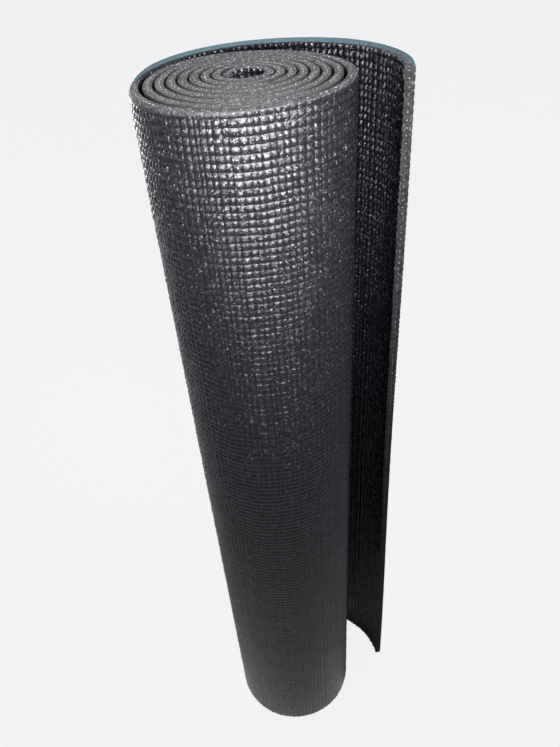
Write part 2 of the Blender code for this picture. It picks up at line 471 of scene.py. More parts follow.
def worn_edge(along, heights):
    """How worn the outer face is, from 1 at the top cut down to 0, and how far that rounds it.

    The wear falls evenly over a reach that changes along the sheet and is frayed by two sine
    waves. The rounding grows with the square of the wear."""
    frayed = 1 + FRAY * np.sin(along * FRAY_RATES[0]) + FRAY * np.sin(along * FRAY_RATES[1])
    reach = np.interp(along, WORN_PLACES, WORN_REACH)[:, None] * frayed[:, None]
    worn = (1 - (MAT_WIDTH - heights) / reach).clip(0.0, 1.0)
    return (WORN_GAIN * worn).clip(0.0, 1.0), WORN_DEPTH * reach * worn ** 2


def between(front, back):
    """Offsets of a cut's two lines, a third and two thirds of the way from its front to its back."""
    return front * (1 - CUT_LINES) + back * CUT_LINES


def cut_crown(places, waves):
    """How far a cut's two lines stand out: a low crown and two sine waves, out of step with each
    other from line to line."""
    places = places[:, None]
    first = np.sin(places * waves.first + CUT_PHASES)
    second = np.sin(places * waves.second + waves.twist * CUT_PHASES)
    return CUT_CROWN + CUT_WAVER * (first + second)


# Building meshes

def slab_faces(stations_count, ring, front, sparse):
    """Quads and triangles of a slab, and the kind of side that each quad belongs to.

    The slab's corners are rings, one for each station: up the front, over the top cut, down the
    back and under the foot cut. Quads join ring to ring. A sparse back has corners only at its top
    and foot, so its ends are closed by fans of triangles from those two corners."""
    row = np.arange(stations_count - 1)[:, None] * ring
    here = np.arange(ring)[None]
    after = (here + 1) % ring
    quads = np.stack([row + here, row + after, row + ring + after, row + ring + here], axis=-1)
    cut = len(CUT_LINES)
    back = ring - front - 2 * cut
    sides = np.repeat([FRONT, CUT, BACK, CUT], [front - 1, cut + 1, back - 1, cut + 1])
    quad_sides = np.tile(sides, stations_count - 1)
    if not sparse:
        return quads.reshape(-1, 4), quad_sides, np.zeros((0, 3), int)
    half = front // 2
    back_top, back_foot = front + 2, front + 3
    rising = np.arange(front - 1)
    fan = np.stack([rising, rising + 1, np.where(rising < half, back_foot, back_top)], axis=-1)
    corners = np.array([
        (half, back_top, back_foot),
        (front - 1, front, back_top), (front, front + 1, back_top),
        (back_foot, front + 4, front + 5), (back_foot, front + 5, 0),
    ])
    cap = np.concatenate([fan, corners])
    far = cap + (stations_count - 1) * ring
    return quads.reshape(-1, 4), quad_sides, np.concatenate([far, cap[:, ::-1]])


def cap_grid(front, ring, start, inside):
    """Corner numbers of a dense end, a grid from the front to the back with two lines between.
    start is the first corner of the ring at that end, and inside holds the corners between."""
    grid = np.zeros((front, 4), int)
    grid[:, 0] = np.arange(front)
    grid[:, 3] = front + 2 + np.arange(front)[::-1]
    grid[-1, 1:3] = front, front + 1
    grid[0, 1:3] = ring - 1, ring - 2
    grid += start
    grid[1:-1, 1:3] = inside
    return grid


def grid_quads(grid):
    """Quads between neighbouring corners of a grid."""
    return np.stack([grid[:-1, :-1], grid[1:, :-1], grid[1:, 1:], grid[:-1, 1:]], axis=-1).reshape(-1, 4)


def mesh_object(name, points, quads, quad_sides, triangles, materials, side_materials, attributes):
    """A smooth shaded object from arrays. An edge is sharp where two sides meet, and where it lies
    within a side whose number is above SMOOTH_SIDES, since that is where the lowest starts."""
    mesh = bpy.data.meshes.new(name)
    sizes = np.repeat([4, 3], [len(quads), len(triangles)])
    corners = np.concatenate([quads.ravel(), triangles.ravel()])
    sides = np.concatenate([quad_sides, np.full(len(triangles), END)])
    mesh.vertices.add(len(points))
    mesh.vertices.foreach_set("co", points.astype(np.float32).ravel())
    mesh.loops.add(len(corners))
    mesh.loops.foreach_set("vertex_index", corners.astype(np.int32))
    mesh.polygons.add(len(sizes))
    mesh.polygons.foreach_set("loop_start", (np.cumsum(sizes) - sizes).astype(np.int32))
    mesh.polygons.foreach_set("material_index", np.array(side_materials, np.int32)[sides % SIDE_KINDS])
    mesh.polygons.foreach_set("use_smooth", np.ones(len(sizes), bool))
    mesh.update(calc_edges=True)
    mesh.validate()
    edges = np.empty(len(corners), np.int32)
    mesh.loops.foreach_get("edge_index", edges)
    corner_sides = np.repeat(sides, sizes)
    lowest = np.full(len(mesh.edges), SMOOTH_SIDES)
    highest = np.full(len(mesh.edges), -1)
    np.minimum.at(lowest, edges, corner_sides)
    np.maximum.at(highest, edges, corner_sides)
    mesh.attributes.new("sharp_edge", "BOOLEAN", "EDGE").data.foreach_set("value", lowest != highest)
    for attribute, values in attributes.items():
        mesh.attributes.new(attribute, "FLOAT", "POINT").data.foreach_set("value", values.astype(np.float32))
    for material in materials:
        mesh.materials.append(material)
    piece = bpy.data.objects.new(name, mesh)
    bpy.context.scene.collection.objects.link(piece)
    return piece


def foam_layer(name, outer, first, last, relief, materials, heights, band=False, lip=None, free_end=False):
    """One foam layer of the sheet between two places along it, as a closed slab.

    Its front is pebbled: half the mat's thickness less the valley depth, plus the pebbles' relief,
    less the rounding beside the cuts. Where the outer face is worn, its relief is levelled out.
    Its back lies on the scrim. The cuts at the top and foot have two lines between front and back,
    crowned a little and wavering. With band, the relief fades away from the two cuts. lip gives how
    far the skin stands up past the top cut. free_end gives the far end a finished, dense cut.

    Neighbouring pebbles count as different sides, so the valleys are sharp, and the side numbers of
    one pebble in four are so high that all its facets are sharp and glint one by one."""
    outwards = 1.0 if outer else -1.0
    along = stations(first, last, FACETS_ACROSS)
    shape = pebbles(along, heights, *(OUTER_VALLEYS if outer else INNER_VALLEYS))
    if band:
        reach = (np.minimum(heights, MAT_WIDTH - heights) / WOUND_BAND).clip(0.0, 1.0)
        shape = shape * (1 - reach ** BAND_POWER)
    rise = np.zeros(len(along)) if lip is None else lip(along)
    rounded = edge_rounding(along, heights, rise, OUTER_NICKS if outer else INNER_NICKS)
    worn = np.zeros_like(shape)
    if outer and not band:
        worn, wear = worn_edge(along, heights)
        rounded = rounded + wear
        shape = shape + worn * (WORN_LEVEL - shape)
    front_offset = outwards * (HALF_THICKNESS - VALLEY_DEPTH + relief(along)[:, None] * shape - rounded)
    sideways, upward = [np.zeros_like(shape)] * 2 if band else waver(along, heights)
    front_heights = heights[None] + upward
    front_heights[:, -1] += rise
    front = sheet_points(along[:, None] + sideways, front_offset, front_heights)

    back_heights = heights if free_end else heights[[0, -1]]
    back_offset = outwards * FOAM_BACK
    back = sheet_points(along[:, None], back_offset, back_heights[None])
    uneven = cut_crown(along, EDGE_WAVES)
    top_heights = MAT_WIDTH + uneven + rise[:, None] * LIP_ON_CUT
    top_cut = sheet_points(along[:, None], between(front_offset[:, -1:], back_offset), top_heights)
    foot_heights = -uneven * FOOT_CROWN_SHARE
    foot_cut = sheet_points(along[:, None], between(front_offset[:, :1], back_offset), foot_heights)
    rings = np.concatenate([front, top_cut, back[:, ::-1], foot_cut[:, ::-1]], axis=1)
    ring = rings.shape[1]
    points = rings.reshape(-1, 3)

    quads, quad_sides, triangles = slab_faces(len(along), ring, len(heights), not free_end)
    quad_sides.reshape(-1, ring)[:, : len(heights) - 1] = SIDE_KINDS * pebble_parity(along, heights)
    if free_end:
        middles = heights[1:-1]
        far_offset = between(front_offset[-1, 1:-1, None], back_offset)
        near_offset = between(front_offset[0, 1:-1, None], back_offset)
        far = sheet_points(last + cut_crown(middles, END_WAVES), far_offset, middles[:, None])
        near = sheet_points(np.array(first), near_offset, middles[:, None])
        far_inside = len(points) + np.arange(2 * len(middles)).reshape(-1, 2)
        far_grid = cap_grid(len(heights), ring, (len(along) - 1) * ring, far_inside)
        near_grid = cap_grid(len(heights), ring, 0, far_inside + far_inside.size)
        points = np.concatenate([points, far.reshape(-1, 3), near.reshape(-1, 3)])
        caps = np.concatenate([grid_quads(far_grid), grid_quads(near_grid)[:, ::-1]])
        quads = np.concatenate([quads, caps])
        quad_sides = np.concatenate([quad_sides, np.full(len(caps), END)])
    if not outer:
        quads, triangles = quads[:, ::-1], triangles[:, ::-1]

    def on_corners(front_values, elsewhere):
        values = np.full(rings.shape[:2], elsewhere)
        values[:, : len(heights)] = front_values
        return np.concatenate([values.ravel(), np.full(len(points) - values.size, elsewhere)])

    lipped = np.repeat(rise > LEAST_LIP, ring)
    rim = ((points[:, 2] - MAT_WIDTH + RIM_DROP) / RIM_FADE).clip(0.0, 1.0)
    rim *= np.concatenate([lipped, np.zeros(len(points) - len(lipped))])
    place = np.concatenate([np.repeat(along, ring), np.full(len(points) - len(lipped), last)])
    shaded = np.interp((place - ROLL_LENGTH) / FLAP_LENGTH, SHADED_PLACES, SHADED_LEVELS) * (not outer)
    dust = near_cuts(heights, DUST_REACH) * band
    if not outer:
        dust = dust * ((along - FIRST_TURN) / DUST_RAMP + 0.5).clip(0.0, 1.0)[:, None]
    attributes = {
        "relief": on_corners(shape, 1.0), "rim": rim, "shaded": shaded,
        "dust": on_corners(dust, 0.0), "worn": on_corners(worn, 0.0),
    }
    side_materials = (0, 1, 1, len(materials) - 1)
    return mesh_object(name, points, quads, quad_sides, triangles, materials, side_materials, attributes)


def tufts(places, radii, heights):
    """Small egg-shaped yarn ends: a round blob of six sides and three rings, scaled and moved to
    each place. Returns its points and faces as arrays."""
    around = np.arange(TUFT_SIDES) * 2 * math.pi / TUFT_SIDES
    up = np.array(TUFT_LEVELS)
    wide = np.sqrt(1 - up ** 2)
    rings = np.stack([
        np.outer(wide, np.cos(around)), np.outer(wide, np.sin(around)), np.outer(up, np.ones(TUFT_SIDES)),
    ], axis=-1).reshape(-1, 3)
    blob = np.concatenate([rings, [[0, 0, -1], [0, 0, 1]]])
    bottom, top = len(rings), len(rings) + 1
    here = np.arange(TUFT_SIDES)
    after = (here + 1) % TUFT_SIDES
    last_ring = len(rings) - TUFT_SIDES
    quads = np.concatenate([
        np.stack([row + here, row + after, row + TUFT_SIDES + after, row + TUFT_SIDES + here], axis=-1)
        for row in range(0, last_ring, TUFT_SIDES)
    ])
    triangles = np.concatenate([
        np.stack([after, here, np.full(TUFT_SIDES, bottom)], axis=-1),
        np.stack([last_ring + here, last_ring + after, np.full(TUFT_SIDES, top)], axis=-1),
    ])
    size = np.stack([radii, radii, heights], axis=-1)
    points = places[:, None] + blob[None] * size[:, None]
    steps = (np.arange(len(places)) * len(blob))[:, None, None]
    quads, triangles = [(faces[None] + steps).reshape(-1, faces.shape[1]) for faces in (quads, triangles)]
    return points.reshape(-1, 3), quads, triangles


def yarn_ends(along, height, kind):
    """Places, radii and heights of yarn ends. Each lies a drawn distance off the sheet's middle."""
    count = np.broadcast(along, height).size
    places = sheet_points(along, random.normal(kind.offset, kind.spread, count), height)
    return places, random.uniform(*kind.radii, count), random.uniform(*kind.heights, count)


def scrim_layer(name, first, last, materials, free_end=False):
    """The scrim between two places along the sheet: a thin closed slab a little inside the cuts,
    with a yarn end standing out of the top and foot cuts at the middle of each column, and out of
    the free end at the middle of each row. Under the lip, the top ones are sunk."""
    along = stations(first, last - (SCRIM_RECESS if free_end else 0.0), SCRIM_FACETS)[:, None]
    heights = np.array([SCRIM_RECESS, MAT_WIDTH - SCRIM_RECESS])
    front = sheet_points(along, SCRIM_HALF, heights[None])
    back = sheet_points(along, -SCRIM_HALF, heights[None])
    across = SCRIM_HALF * (1 - 2 * CUT_LINES)
    top_cut = sheet_points(along, across, heights[1])
    foot_cut = sheet_points(along, across, heights[0])
    rings = np.concatenate([front, top_cut, back[:, ::-1], foot_cut[:, ::-1]], axis=1)
    quads, quad_sides, triangles = slab_faces(len(along), rings.shape[1], len(heights), True)
    points = rings.reshape(-1, 3)

    middles = (COLUMN_EDGES[:-1] + COLUMN_EDGES[1:]) / 2
    middles = middles[(middles > first) & (middles < min(last, SHEET_LENGTH - CLEAR_OF_CORNER))]
    sunk = np.interp((middles - ROLL_LENGTH) / FLAP_LENGTH, SUNK_PLACES, SUNK_DEPTHS)
    ends = [yarn_ends(middles, level, EDGE_TUFTS) for level in (TOP_TUFT_LEVEL - sunk, FOOT_TUFT_LEVEL)]
    if free_end:
        rows = (np.arange(ROWS) + 0.5) * ROW_PITCH - ROW_START
        rows = rows[(rows > CLEAR_OF_CUT) & (rows < MAT_WIDTH - CLEAR_OF_CUT)]
        ends.append(yarn_ends(last, rows, END_TUFTS))
    blobs, blob_quads, blob_triangles = tufts(*(np.concatenate(values) for values in zip(*ends)))
    relief = np.concatenate([np.zeros(len(points)), np.ones(len(blobs))])
    quads = np.concatenate([quads, blob_quads + len(points)])
    quad_sides = np.concatenate([quad_sides, np.full(len(blob_quads), FRONT)])
    triangles = np.concatenate([triangles, blob_triangles + len(points)])
    points = np.concatenate([points, blobs])
    side_materials = (0, 0, 0, 0)
    return mesh_object(
        name, points, quads, quad_sides, triangles, materials, side_materials, {"relief": relief},
    )


# Materials

# Colours
RIM_BLUE = (0.055, 0.098, 0.122, 1.0)
FOAM_DUST = (0.018, 0.018, 0.019, 1.0)
BARE_DARK = (0.018, 0.018, 0.020, 1.0)
BARE_PALE = (0.088, 0.088, 0.092, 1.0)
SHADED_CUT = (0.020, 0.021, 0.023, 1.0)
SCUFF_GREY = (0.17, 0.17, 0.18, 1.0)
SOAKED_YARN = (0.05, 0.05, 0.055, 1.0)
DULL_YARN = (0.45, 0.45, 0.46, 1.0)
WHITE_YARN = (0.80, 0.80, 0.80, 1.0)

# Noises: scale, detail and roughness
GRAIN = (2300.0, 3.0, 0.65)
SPECK = (900.0, 2.0, 0.5)
PATCHES = (55.0, 3.0, 0.6)
PAINTED_GLINT_NOISE = (1050.0, 1.0, 0.4)
BUBBLES = (680.0, 1.0, 0.4)
SCRATCHES = (1400.0, 2.0, 0.6)
FOAM_PATCHES = (260.0, 2.0, 0.6)
FIBRES = (3000.0, 2.0, 0.6)
CELL_DETAIL = (4.0, 0.80)
WALL_DETAIL = (1.0, 0.5)

# The part of a value's range over which its effect comes in
PAINTED_VALLEY_SHADE_RANGE = (0.15, 0.80)
PAINTED_GLINT_RANGE = (0.68, 0.73)
BARE_RANGE = (0.46, 0.60)
ROUGH_RANGE = (0.55, 1.05)
DULL_RANGE = (0.05, 0.60)
BUBBLE_RANGE = (0.60, 0.76)
SCRATCH_RANGE = (0.42, 0.60)
CELL_RANGE = (0.42, 0.58)
WALL_RANGE = (0.62, 0.70)
SCUFF_EDGE = (0.00005, 0.00038)
SCUFF_FRONT = (-0.035, -0.030)

# Shares, strengths and other amounts
PATCH_SHARE = 0.6
GRAIN_BUMP = 0.5
SPECK_BUMP = 0.7
VALLEY_DULLNESS = 0.14
FOAM_DULLNESS = 0.4
CELL_SHARE = 0.75
WALL_FINENESS = 0.6
CUT_ROUGHNESS = 0.8
YARN_ROUGHNESS = 0.75
SKIN_BUMP = (0.8, 0.00030)
CELL_BUMP = (0.9, 0.00040)

# Scratches in the front skin, each from one place to another, sideways and upwards
SCUFFS = (((0.0006, 0.6024), (0.0049, 0.6068)), ((0.0003, 0.6008), (0.0091, 0.6044)))

SHADER_INPUTS = ("Base Color", "Roughness", "Specular IOR Level")


def shader_material(name):
    """A new material, its node tree, its shader and a source of the piece's own coordinates."""
    material = bpy.data.materials.new(name)
    material.use_nodes = True
    tree = material.node_tree
    coordinates = tree.nodes.new("ShaderNodeTexCoord").outputs["Object"]
    return material, tree, tree.nodes["Principled BSDF"], coordinates


def feed(tree, node, inputs, values):
    """Gives a node's inputs their values, each a link from another node or a plain value."""
    for name, value in zip(inputs, values):
        if isinstance(value, bpy.types.NodeSocket):
            tree.links.new(value, node.inputs[name])
        else:
            node.inputs[name].default_value = value


def noise(tree, vector, scale, detail, roughness):
    """A noise texture's value."""
    node = tree.nodes.new("ShaderNodeTexNoise")
    feed(tree, node, ("Vector", "Scale", "Detail", "Roughness"), (vector, scale, detail, roughness))
    return node.outputs["Fac"]


def mapped(tree, value, low, high, to_low=0.0, to_high=1.0):
    """A value's range low..high mapped onto to_low..to_high, and held there beyond it."""
    node = tree.nodes.new("ShaderNodeMapRange")
    inputs = ("Value", "From Min", "From Max", "To Min", "To Max")
    feed(tree, node, inputs, (value, low, high, to_low, to_high))
    return node.outputs["Result"]


def combined(tree, operation, first, *others):
    """Values put through a math operation one after the other, or one value through its own."""
    for other in others or (0.0,):
        node = tree.nodes.new("ShaderNodeMath")
        node.operation = operation
        feed(tree, node, (0, 1), (first, other))
        first = node.outputs[0]
    return first


def mixed_colour(tree, factor, first, second):
    """Two colours mixed by a value."""
    node = tree.nodes.new("ShaderNodeMix")
    node.data_type = "RGBA"
    feed(tree, node, ("Factor", 6, 7), (factor, first, second))
    return node.outputs[2]


def piece_attribute(tree, name):
    """A value stored on the piece's own corners."""
    node = tree.nodes.new("ShaderNodeAttribute")
    node.attribute_name = name
    return node.outputs["Fac"]


def bumped(tree, shader, height, strength, distance):
    """A fine relief of the surface from a height value."""
    node = tree.nodes.new("ShaderNodeBump")
    feed(tree, node, ("Strength", "Distance", "Height"), (strength, distance, height))
    tree.links.new(node.outputs["Normal"], shader.inputs["Normal"])


def scuff(tree, place, start, end):
    """1 on a short scratch in the front skin and 0 off it: from the distance to a straight line
    between two places, each given sideways and upwards. A noise breaks it up."""
    def vector(operation, first, second):
        node = tree.nodes.new("ShaderNodeVectorMath")
        node.operation = operation
        feed(tree, node, (0, 1), (first, second))
        return node.outputs["Value" if operation in ("DOT_PRODUCT", "LENGTH") else "Vector"]

    run = (end[0] - start[0], 0.0, end[1] - start[1])
    length = math.hypot(run[0], run[2])
    ahead = (run[0] / length, 0.0, run[2] / length)
    flat = vector("MULTIPLY", vector("SUBTRACT", place, (start[0], 0.0, start[1])), (1.0, 0.0, 1.0))
    travelled = mapped(tree, vector("DOT_PRODUCT", flat, ahead), 0.0, length, 0.0, length)
    scale = tree.nodes.new("ShaderNodeVectorMath")
    scale.operation = "SCALE"
    feed(tree, scale, (0, "Scale"), (ahead, travelled))
    gap = vector("LENGTH", vector("SUBTRACT", flat, scale.outputs["Vector"]), (0.0, 0.0, 0.0))
    split = tree.nodes.new("ShaderNodeSeparateXYZ")
    tree.links.new(place, split.inputs[0])
    line = mapped(tree, gap, *SCUFF_EDGE, 1.0, 0.0)
    in_front = mapped(tree, split.outputs["Y"], *SCUFF_FRONT, 1.0, 0.0)
    broken = mapped(tree, noise(tree, place, *SCRATCHES), *SCRATCH_RANGE)
    return combined(tree, "MULTIPLY", line, in_front, broken)


def skin(name, valley, top, fleck_or_painted_glint, roughness, gloss, sparkle, crumple, scuffs=()):
    """The glossy pebbled skin: darker in the valleys, which is painted shade, sprinkled with small pale
    flecks, which are painted glints, and duller in patches and in the valleys. The attributes dust and
    worn turn it to powdered and bare foam, which are dull, and rim turns it to the smooth blue-grey
    rim. A fine grain, specks, bubbles as high as sparkle says and the relief's own crumple make its bump."""
    material, tree, shader, place = shader_material(name)
    grain, speck, patch = (noise(tree, place, *kind) for kind in (GRAIN, SPECK, PATCHES))
    relief, dust, worn, rim = (piece_attribute(tree, name) for name in ("relief", "dust", "worn", "rim"))
    # Darker in the valleys, by the relief: painted shade.
    colour = mixed_colour(tree, mapped(tree, relief, *PAINTED_VALLEY_SHADE_RANGE), valley, top)
    # Small pale flecks in the skin's colour: painted glints.
    painted_glints = mapped(tree, noise(tree, place, *PAINTED_GLINT_NOISE), *PAINTED_GLINT_RANGE)
    colour = mixed_colour(tree, painted_glints, colour, fleck_or_painted_glint)
    colour = mixed_colour(tree, dust, colour, FOAM_DUST)
    bare_foam = mixed_colour(tree, mapped(tree, speck, *BARE_RANGE), BARE_DARK, BARE_PALE)
    colour = mixed_colour(tree, worn, colour, bare_foam)
    for start, end in scuffs:
        colour = mixed_colour(tree, scuff(tree, place, start, end), colour, SCUFF_GREY)
    colour = mixed_colour(tree, rim, colour, RIM_BLUE)

    uneven = combined(tree, "ADD", grain, combined(tree, "MULTIPLY", patch, PATCH_SHARE))
    rough = mapped(tree, uneven, *ROUGH_RANGE, *roughness)
    in_valley = mapped(tree, relief, *DULL_RANGE, VALLEY_DULLNESS, 0.0)
    foamy = combined(tree, "MULTIPLY", combined(tree, "MAXIMUM", worn, dust), FOAM_DULLNESS)
    rough = combined(tree, "ADD", rough, combined(tree, "ADD", in_valley, foamy))
    feed(tree, shader, SHADER_INPUTS, (colour, rough, gloss))

    height = combined(
        tree, "ADD",
        combined(tree, "MULTIPLY", grain, GRAIN_BUMP),
        combined(tree, "MULTIPLY", speck, SPECK_BUMP),
        mapped(tree, noise(tree, place, *BUBBLES), *BUBBLE_RANGE, 0.0, sparkle),
        combined(tree, "MULTIPLY", relief, crumple),
    )
    bumped(tree, shader, height, *SKIN_BUMP)
    return material


def cut_foam(name, dark, pale, fleck_or_painted_glint, gloss, fineness):
    """The cut foam: matt and open-celled, a fine speckle of dark cells and pale walls with lighter
    flecks. The attribute shaded darkens it, and rim turns it to the blue-grey rim."""
    material, tree, shader, place = shader_material(name)
    cells = noise(tree, place, fineness, *CELL_DETAIL)
    patch = noise(tree, place, *FOAM_PATCHES)
    speckle = combined(
        tree, "ADD",
        combined(tree, "MULTIPLY", cells, CELL_SHARE),
        combined(tree, "MULTIPLY", patch, 1 - CELL_SHARE),
    )
    colour = mixed_colour(tree, mapped(tree, speckle, *CELL_RANGE), dark, pale)
    walls = mapped(tree, noise(tree, place, fineness * WALL_FINENESS, *WALL_DETAIL), *WALL_RANGE)
    colour = mixed_colour(tree, walls, colour, fleck_or_painted_glint)
    colour = mixed_colour(tree, piece_attribute(tree, "shaded"), colour, SHADED_CUT)
    colour = mixed_colour(tree, piece_attribute(tree, "rim"), colour, RIM_BLUE)
    feed(tree, shader, SHADER_INPUTS, (colour, CUT_ROUGHNESS, gloss))
    bumped(tree, shader, cells, *CELL_BUMP)
    return material


def yarn(name):
    """The scrim: dark where foam has soaked it, and near white at its cut yarn ends."""
    material, tree, shader, place = shader_material(name)
    pale = mixed_colour(tree, noise(tree, place, *FIBRES), DULL_YARN, WHITE_YARN)
    colour = mixed_colour(tree, piece_attribute(tree, "relief"), SOAKED_YARN, pale)
    feed(tree, shader, SHADER_INPUTS, (colour, YARN_ROUGHNESS))
    return material


outer_skin = skin(
    "pebbled_outer_skin", valley=(0.003, 0.0032, 0.0050, 1.0), top=(0.012, 0.0123, 0.0168, 1.0),
    fleck_or_painted_glint=(0.22, 0.22, 0.24, 1.0), roughness=(0.20, 0.42), gloss=0.70, sparkle=0.9, crumple=0.0,
    scuffs=SCUFFS,
)
# The inner skin is a darker, less glossy copy of the outer one: its colours are painted shade for the flap's
# shaded inner face.
inner_skin_painted_shade = skin(
    "pebbled_inner_skin", valley=(0.002, 0.0021, 0.0040, 1.0), top=(0.004, 0.0040, 0.0075, 1.0),
    fleck_or_painted_glint=(0.07, 0.07, 0.08, 1.0), roughness=(0.20, 0.38), gloss=0.48, sparkle=3.2, crumple=1.2,
)
foam_cut = cut_foam(
    "cut_foam", dark=(0.016, 0.016, 0.018, 1.0), pale=(0.142, 0.142, 0.148, 1.0),
    fleck_or_painted_glint=(0.42, 0.42, 0.43, 1.0), gloss=0.4, fineness=1500.0,
)
free_end_cut = cut_foam(
    "cut_foam_free_end", dark=(0.002, 0.002, 0.003, 1.0), pale=(0.041, 0.041, 0.043, 1.0),
    fleck_or_painted_glint=(0.085, 0.085, 0.09, 1.0), gloss=0.3, fineness=1150.0,
)
scrim_yarn = yarn("scrim_yarn_ends")


# Pieces

def finish(piece, replaced):
    """Hides the CAD part that the piece stands for, and gives the piece back."""
    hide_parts(replaced)
    return piece


Face = namedtuple("Face", "foam slot_name skin relief")
OUTER_FACE = Face("outer_foam", "foam_outer_face", outer_skin, outer_relief)
INNER_FACE = Face("inner_foam", "foam_inner_face", inner_skin_painted_shade, inner_relief)


def foam_piece(face, label, solid, first, last, heights, end_cuts=(free_end_cut,), **form):
    """A foam layer with its face's own skin and relief, which stands for a soft solid."""
    name, outer = f"{face.foam}_{label}", face is OUTER_FACE
    materials = [face.skin, foam_cut, *end_cuts]
    layer = foam_layer(name, outer, first, last, face.relief, materials, heights, **form)
    return finish(layer, f"{face.foam}_{solid}")


def scrim_piece(label, solid, first, last, free_end=False):
    """A stretch of the scrim, which stands for its solid."""
    layer = scrim_layer(f"scrim_{label}", first, last, [scrim_yarn], free_end)
    return finish(layer, f"scrim_{solid}")


def bend_span(first, last):
    """Where the bend across a hinge begins and ends: on a level line square to the two seams,
    inside both seams at every height and through the whole thickness."""
    deep = HALF_THICKNESS + FLAP_RELIEF
    offsets, heights = np.array([[-deep], [deep]]), np.array([[0.0, MAT_WIDTH]])
    seams = [sheet_points(np.array(place), offsets, heights) for place in (first, last)]
    middles = [seam.reshape(-1, 3).mean(axis=0) for seam in seams]
    upright = sum((seam[:, 1] - seam[:, 0]).mean(axis=0) for seam in seams)
    upright /= np.linalg.norm(upright)
    across = middles[1] - middles[0]
    across -= (across @ upright) * upright
    across /= np.linalg.norm(across)
    begin = (seams[0].reshape(-1, 3) @ across).max() + SEAM_MARGIN
    end = (seams[1].reshape(-1, 3) @ across).min() - SEAM_MARGIN
    start = middles[0] + (begin - middles[0] @ across) * across
    return start, start + (end - begin) * across


all_levels = levels(FACETS_UP)
wound_levels = all_levels[np.minimum(all_levels, MAT_WIDTH - all_levels) < WOUND_BAND]
covered_until = nearest_valley(turn_place(TURNS - OPEN_TURNS))
flap_from = nearest_valley(ROLL_LENGTH - STRIP_LENGTH / 2)
open_seams = [nearest_valley(place) for place in np.linspace(covered_until, flap_from, OPEN_PARTS + 1)]

roll_pieces = [foam_piece(OUTER_FACE, "wound_turns", "roll", 0.0, covered_until, wound_levels, band=True)]
for part, (first, last) in enumerate(zip(open_seams[:-1], open_seams[1:])):
    label = f"last_turn_{part + 1}"
    roll_pieces.append(foam_piece(OUTER_FACE, label, "roll", first, last, all_levels, end_cuts=()))
roll_pieces.append(foam_piece(INNER_FACE, "wound_turns", "roll", 0.0, flap_from, wound_levels, band=True))
roll_pieces.append(scrim_piece("wound_turns", "roll", 0.0, flap_from))
for piece in roll_pieces:
    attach(piece, "roll")

before = flap_from
for number in range(1, STRIPS + 1):
    is_last = number == STRIPS
    seam = nearest_valley(ROLL_LENGTH + (number - 0.5) * STRIP_LENGTH)
    until = SHEET_LENGTH if is_last else seam
    strip = f"strip_{number:02d}"
    label = f"flap_{number:02d}"
    start, end = bend_span(before, seam)
    for piece in (
        foam_piece(OUTER_FACE, label, strip, before, until, all_levels, lip=rim_lip, free_end=is_last),
        foam_piece(INNER_FACE, label, strip, before, until, all_levels, free_end=is_last),
        scrim_piece(label, strip, before, until, free_end=is_last),
    ):
        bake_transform(piece)
    before = seam


# Floor, light and camera

FLOOR_HALF = 9.0
FLOOR_DROP = 0.0003
FLOOR_GREY = (0.49, 0.50, 0.53, 1.0)
FLOOR_ROUGHNESS = 0.9
FLOOR_PALE = (0.955, 0.960, 0.975, 1.0)
FLOOR_SHOWN = 0.9
BACKDROP_PALE = (0.885, 0.890, 0.905, 1.0)
BACKDROP_MIRRORED = 0.06
WORLD_LIGHT = (0.084, 0.091, 0.114, 1.0)

# The floor's painted reflection in the mat, by place
NEAR_REACH = 0.048
NEAR_CENTRE = 0.017
NEAR_DROP = 0.03
LEAST_AWAY = 0.05
NEAR_IN_FRONT, NEAR_BESIDE = 0.75, 1.45
FLAP_SIDEWAYS = (0.042, 0.054)
FLAP_BACKWARDS = (-0.035, -0.015)
BEHIND_RANGE = (0.15, 0.55)
BEHIND_LEAST = 0.02
LEFT_OF_MIDDLE = (-0.05, 0.0)
RIGHT_SHARE = 0.1


def painted_floor_reflection(tree, place):
    """How strongly the floor glows in reflections, by its place round the roll: a painted reflection on the
    mat.

    Near the roll it falls as one over the distance. There it is stronger beside the roll than in
    front of it, and nothing within the flap. Behind the roll it grows with how straight behind the
    place lies, and is weak on the right."""
    split = tree.nodes.new("ShaderNodeSeparateXYZ")
    tree.links.new(place, split.inputs[0])
    sideways = combined(tree, "ADD", split.outputs["X"], float(PLAN_MIDDLE[0]))
    backwards = combined(tree, "ADD", split.outputs["Y"], float(PLAN_MIDDLE[1]))
    squares = [combined(tree, "MULTIPLY", way, way) for way in (sideways, backwards)]
    away = combined(tree, "MAXIMUM", combined(tree, "SQRT", combined(tree, "ADD", *squares)), LEAST_AWAY)
    near = combined(tree, "DIVIDE", NEAR_REACH, combined(tree, "SUBTRACT", away, NEAR_CENTRE))
    near = combined(tree, "SUBTRACT", near, NEAR_DROP)
    beside = combined(tree, "DIVIDE", combined(tree, "ABSOLUTE", sideways), away)
    within_flap = combined(
        tree, "MULTIPLY", mapped(tree, sideways, *FLAP_SIDEWAYS), mapped(tree, backwards, *FLAP_BACKWARDS),
    )
    near = combined(
        tree, "MULTIPLY", near, mapped(tree, beside, 0.0, 1.0, NEAR_IN_FRONT, NEAR_BESIDE),
        combined(tree, "SUBTRACT", 1.0, within_flap),
    )
    behind = combined(
        tree, "MULTIPLY",
        mapped(tree, combined(tree, "DIVIDE", backwards, away), *BEHIND_RANGE, BEHIND_LEAST, 1.0),
        mapped(tree, sideways, *LEFT_OF_MIDDLE, 1.0, RIGHT_SHARE),
    )
    return combined(tree, "MAXIMUM", near, behind)


def shown_pale(tree, share, lit, pale, surface):
    """Joins a lit shader and a pale one to the surface, the pale one by its share."""
    both = tree.nodes.new("ShaderNodeMixShader")
    feed(tree, both, (0, 1, 2), (share, lit, pale))
    tree.links.new(both.outputs["Shader"], surface)


